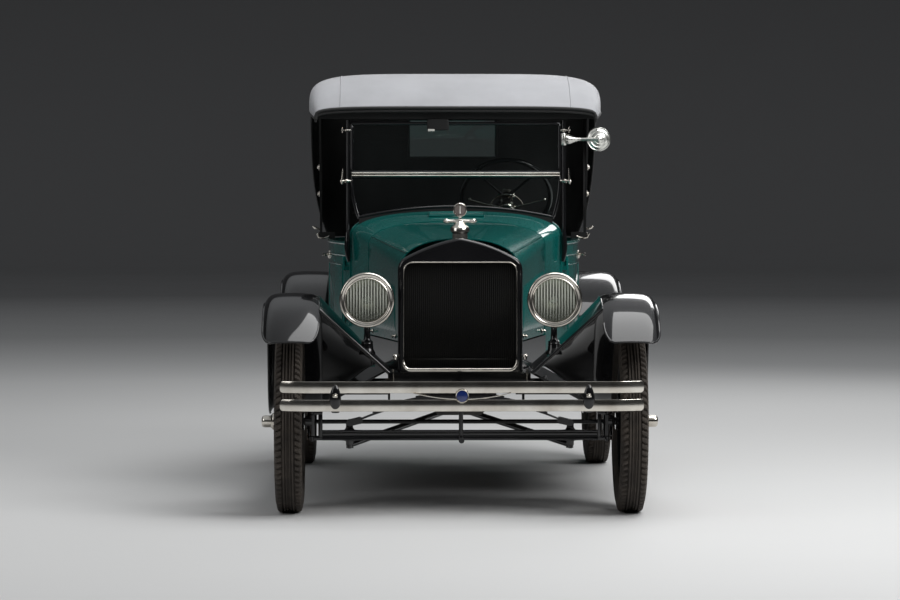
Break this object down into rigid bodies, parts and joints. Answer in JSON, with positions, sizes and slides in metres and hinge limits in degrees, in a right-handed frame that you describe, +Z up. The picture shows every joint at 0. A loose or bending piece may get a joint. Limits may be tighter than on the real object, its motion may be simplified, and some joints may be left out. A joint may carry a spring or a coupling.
{
  "type": "vintage roadster pickup",
  "caption": "Vintage roadster pickup with a folding top, upright radiator, open fenders, spoked wheels and a small load bed; it rolls, steers, and its doors, hood and tailgate open.",
  "frame": {"origin": "on the ground under the middle of the bounding box", "axes": "+Z up, -Y towards the front of the vehicle, +X towards its left side"},
  "size_m": [1.66, 3.92, 1.862],
  "materials": {
    "body_paint": "gloss",
    "black_paint": "gloss",
    "nickel_plate": "polished",
    "engine_iron": "rough",
    "core_metal": "matte",
    "wheel_wood": "varnished",
    "tyre_rubber": "matte",
    "board_wood": "matte",
    "seat_leather": "satin",
    "top_cloth": "matte",
    "clear_glass": "polished",
    "wheel_rim": "gloss"
  },
  "bodies": {
    "chassis": {"cowl": "body_paint", "cab_body": "body_paint", "dash_panel": "body_paint", "bed": "body_paint", "frame_rails": "black_paint", "crossmembers": "black_paint", "starting_crank": "black_paint", "front_axle": "black_paint", "front_spring": "black_paint", "radius_rod": "black_paint", "rear_axle": "black_paint", "rear_spring": "black_paint", "radiator_shell": "black_paint", "hood_rod": "black_paint", "hood_sills": "black_paint", "windshield_frame": "black_paint", "top_bows": "black_paint", "front_fenders": "black_paint", "fender_aprons": "black_paint", "rear_fenders": "black_paint", "running_boards": "black_paint", "splash_aprons": "black_paint", "headlamp_shells": "black_paint", "bumper_brackets": "black_paint", "steering_column": "black_paint", "radiator_cap": "nickel_plate", "side_mirror": "nickel_plate", "headlamp_rims": "nickel_plate", "bumper_bars": "nickel_plate", "engine": "engine_iron", "exhaust": "engine_iron", "radiator_core": "core_metal", "floor_boards": "board_wood", "seat_base": "board_wood", "seat_cushion": "seat_leather", "seat_back": "seat_leather", "top_canopy": "top_cloth", "window_glass": "clear_glass", "headlamp_lenses": "clear_glass"},
    "knuckle_left": {"knuckle_left": "black_paint"},
    "knuckle_right": {"knuckle_right": "black_paint"},
    "tie_rod": {"tie_rod": "black_paint"},
    "steering_wheel": {"steering_wheel": "wheel_rim"},
    "wheel_front_left": {"wheel_front_left": "wheel_wood", "tyre_front_left": "tyre_rubber"},
    "wheel_front_right": {"wheel_front_right": "wheel_wood", "tyre_front_right": "tyre_rubber"},
    "wheel_rear_left": {"wheel_rear_left": "wheel_wood", "tyre_rear_left": "tyre_rubber"},
    "wheel_rear_right": {"wheel_rear_right": "wheel_wood", "tyre_rear_right": "tyre_rubber"},
    "door_left": {"door_left": "body_paint"},
    "door_right": {"door_right": "body_paint"},
    "hood_top_left": {"hood_top_left": "body_paint"},
    "hood_top_right": {"hood_top_right": "body_paint"},
    "hood_side_left": {"hood_side_left": "body_paint"},
    "hood_side_right": {"hood_side_right": "body_paint"},
    "tailgate": {"tailgate": "body_paint"}
  },
  "joints": [
    {"name": "steer_left", "type": "hinge", "parent": "chassis", "child": "knuckle_left", "pos_m": [0.62, -1.46, 0.3785], "axis": [0, 0, 1], "range_deg": [-30, 30]},
    {"name": "steer_right", "type": "hinge", "parent": "chassis", "child": "knuckle_right", "pos_m": [-0.62, -1.46, 0.3785], "axis": [0, 0, 1], "range_deg": [-30, 30]},
    {"name": "tie_rod_swing", "type": "hinge", "parent": "knuckle_left", "child": "tie_rod", "pos_m": [0.62, -1.32, 0.3675], "axis": [0, 0, 1], "range_deg": [-30, 30]},
    {"name": "steering_wheel_turn", "type": "hinge", "parent": "chassis", "child": "steering_wheel", "pos_m": [0.238, -0.01, 1.304], "axis": [0, 0.8192, 0.5736], "range_deg": [-150, 150]},
    {"name": "wheel_front_left_spin", "type": "hinge", "parent": "knuckle_left", "child": "wheel_front_left", "pos_m": [0.711, -1.46, 0.3785], "axis": [1, 0, 0], "continuous": true},
    {"name": "wheel_front_right_spin", "type": "hinge", "parent": "knuckle_right", "child": "wheel_front_right", "pos_m": [-0.711, -1.46, 0.3785], "axis": [1, 0, 0], "continuous": true},
    {"name": "wheel_rear_left_spin", "type": "hinge", "parent": "chassis", "child": "wheel_rear_left", "pos_m": [0.711, 1.08, 0.3785], "axis": [1, 0, 0], "continuous": true},
    {"name": "wheel_rear_right_spin", "type": "hinge", "parent": "chassis", "child": "wheel_rear_right", "pos_m": [-0.711, 1.08, 0.3785], "axis": [1, 0, 0], "continuous": true},
    {"name": "door_left_hinge", "type": "hinge", "parent": "chassis", "child": "door_left", "pos_m": [0.49585, -0.398, 0.87], "axis": [0, 0, -1], "range_deg": [0, 70]},
    {"name": "door_right_hinge", "type": "hinge", "parent": "chassis", "child": "door_right", "pos_m": [-0.49585, -0.398, 0.87], "axis": [0, 0, 1], "range_deg": [0, 70]},
    {"name": "hood_top_left_hinge", "type": "hinge", "parent": "chassis", "child": "hood_top_left", "pos_m": [0, -1.405, 1.143], "axis": [0, -0.996, -0.0888], "range_deg": [0, 75]},
    {"name": "hood_top_right_hinge", "type": "hinge", "parent": "chassis", "child": "hood_top_right", "pos_m": [0, -1.405, 1.143], "axis": [0, -0.996, -0.0888], "range_deg": [-75, 0]},
    {"name": "hood_side_left_hinge", "type": "hinge", "parent": "hood_top_left", "child": "hood_side_left", "pos_m": [0.22214, -1.405, 1.0825], "axis": [-0.2127, -0.974, -0.0784], "range_deg": [0, 170]},
    {"name": "hood_side_right_hinge", "type": "hinge", "parent": "hood_top_right", "child": "hood_side_right", "pos_m": [-0.22214, -1.405, 1.0825], "axis": [0.2127, -0.974, -0.0784], "range_deg": [-170, 0]},
    {"name": "tailgate_hinge", "type": "hinge", "parent": "chassis", "child": "tailgate", "pos_m": [0, 1.949, 0.672], "axis": [-1, 0, 0], "range_deg": [0, 90]}
  ],
  "couplings": [
    {"joint": "steer_right", "follows": "steer_left", "ratio": 1},
    {"joint": "tie_rod_swing", "follows": "steer_left", "ratio": -1},
    {"joint": "steering_wheel_turn", "follows": "steer_left", "ratio": 5}
  ]
}
